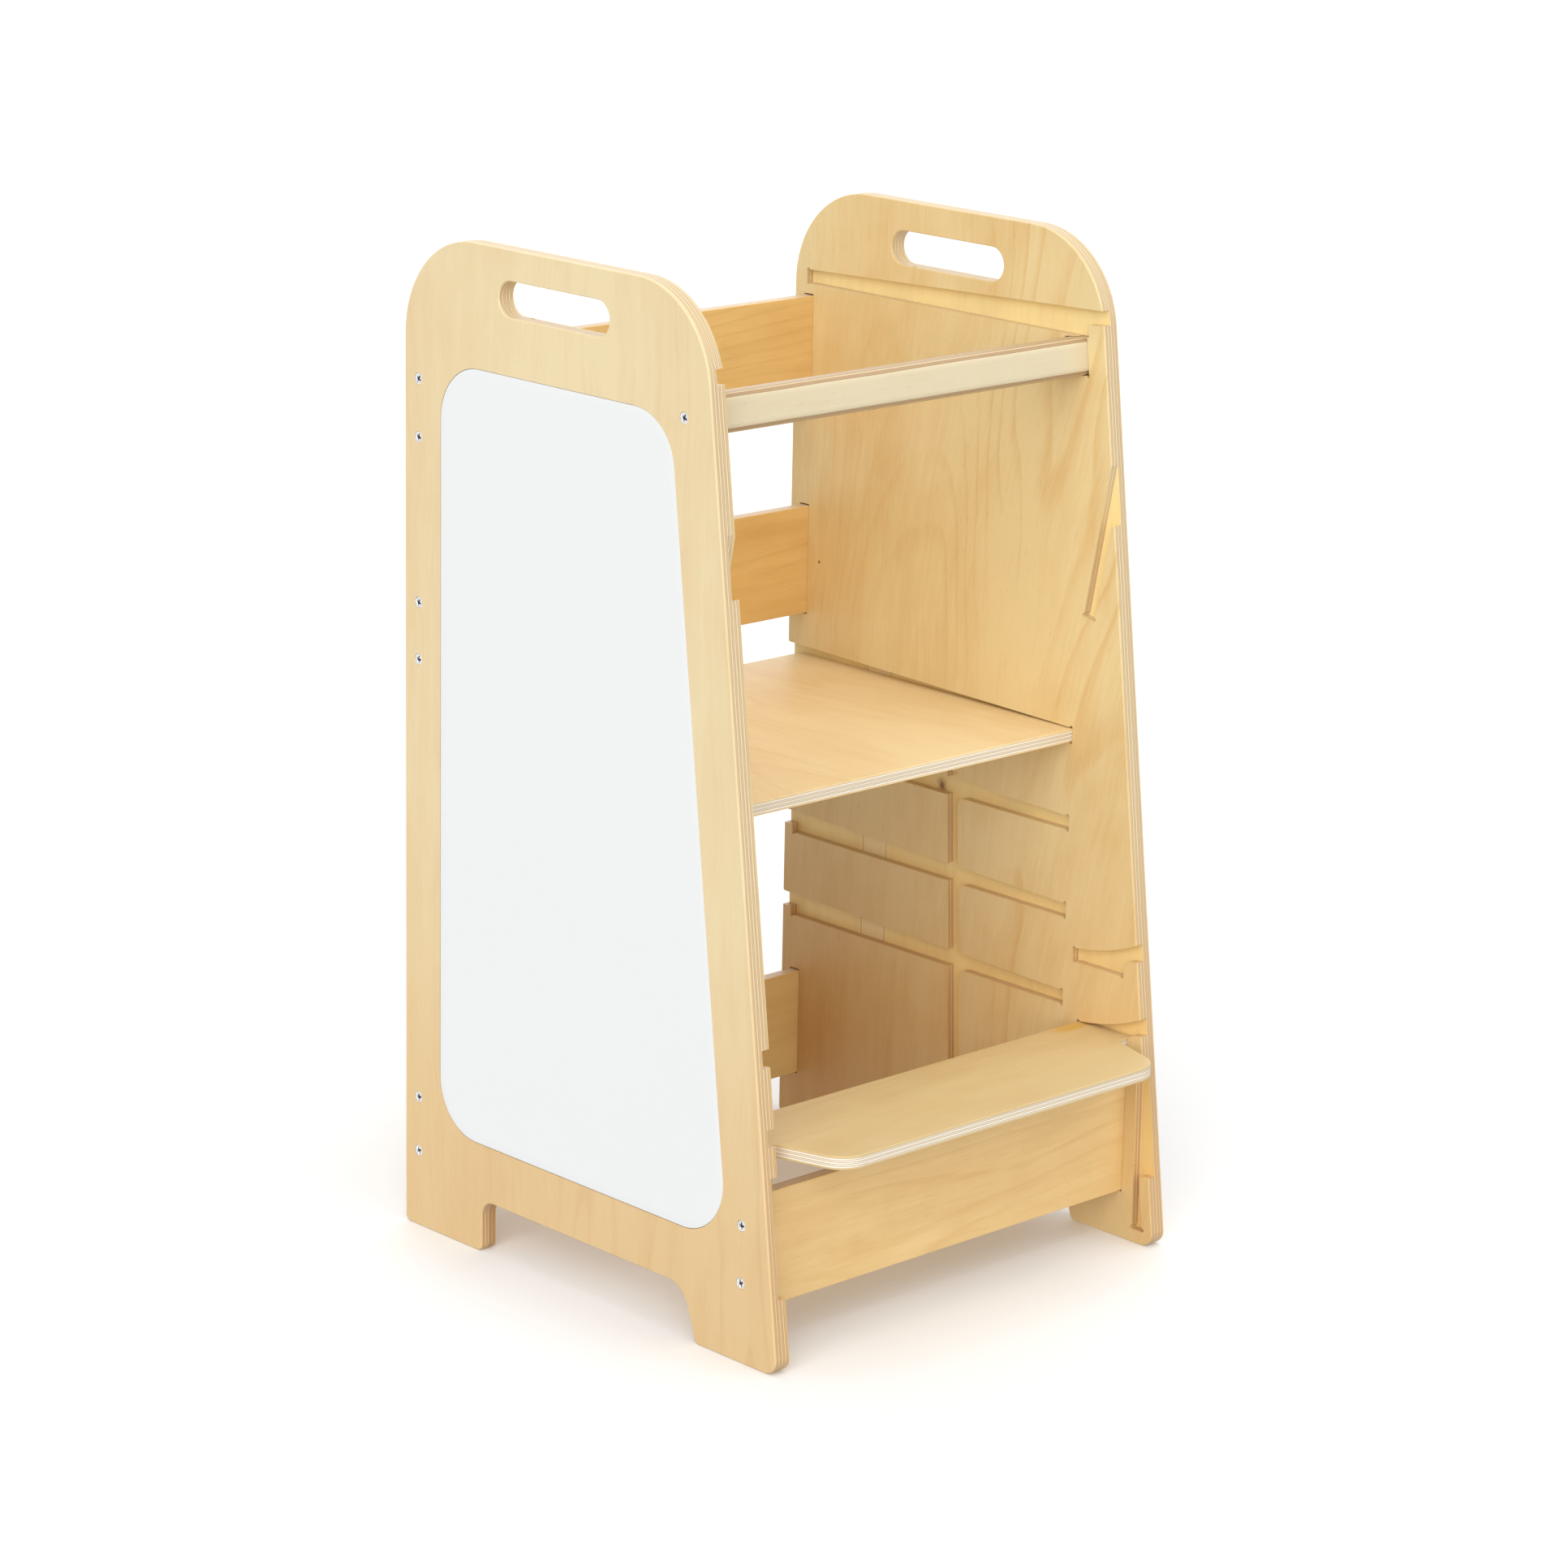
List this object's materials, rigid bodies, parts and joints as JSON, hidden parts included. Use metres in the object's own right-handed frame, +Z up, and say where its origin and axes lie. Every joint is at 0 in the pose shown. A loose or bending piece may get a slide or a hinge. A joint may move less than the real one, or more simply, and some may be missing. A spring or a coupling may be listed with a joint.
{
  "type": "kids easel",
  "caption": "Toddler standing tower and easel: shaped plywood side panels with drawing boards, rails, a standing platform and a step in routed slots.",
  "frame": {"origin": "bottom centre of the bounding box, on the floor", "axes": "+X across the width from the whiteboard to the chalkboard, -Y toward the step side, +Z up"},
  "size_m": [0.478, 0.5168, 0.9],
  "materials": {
    "panel_plywood": "clear satin lacquer",
    "board_plywood": "clear satin lacquer",
    "bar_plywood": "clear satin lacquer",
    "rail_wood": "clear satin lacquer",
    "whiteboard_sheet": "gloss",
    "chalkboard_sheet": "matte",
    "screw_steel": "bright zinc"
  },
  "bodies": {
    "tower_frame": {"bottom_rear_rail": "rail_wood", "bottom_rear_rail_screws_left": "screw_steel", "bottom_rear_rail_screws_right": "screw_steel", "chalkboard": "chalkboard_sheet", "front_bottom_board": "rail_wood", "front_bottom_board_screws_left": "screw_steel", "front_bottom_board_screws_right": "screw_steel", "front_top_rail": "bar_plywood", "front_top_rail_screws_left": "screw_steel", "front_top_rail_screws_right": "screw_steel", "left_side_panel": "panel_plywood", "middle_rear_rail": "rail_wood", "middle_rear_rail_screws_left": "screw_steel", "middle_rear_rail_screws_right": "screw_steel", "right_side_panel": "panel_plywood", "top_rear_rail": "rail_wood", "top_rear_rail_screws_left": "screw_steel", "top_rear_rail_screws_right": "screw_steel", "whiteboard": "whiteboard_sheet"},
    "platform_board": {"platform": "board_plywood"},
    "step_board": {"step": "board_plywood"}
  },
  "joints": [
    {"name": "platform_tilt", "type": "hinge", "parent": "tower_frame", "child": "platform_board", "pos_m": [0, -0.11056, 0.4576], "axis": [1, 0, 0], "range_deg": [0, 1.35]},
    {"name": "step_tilt", "type": "hinge", "parent": "tower_frame", "child": "step_board", "pos_m": [0, -0.13016, 0.1832], "axis": [-1, 0, 0], "range_deg": [0, 5]}
  ]
}
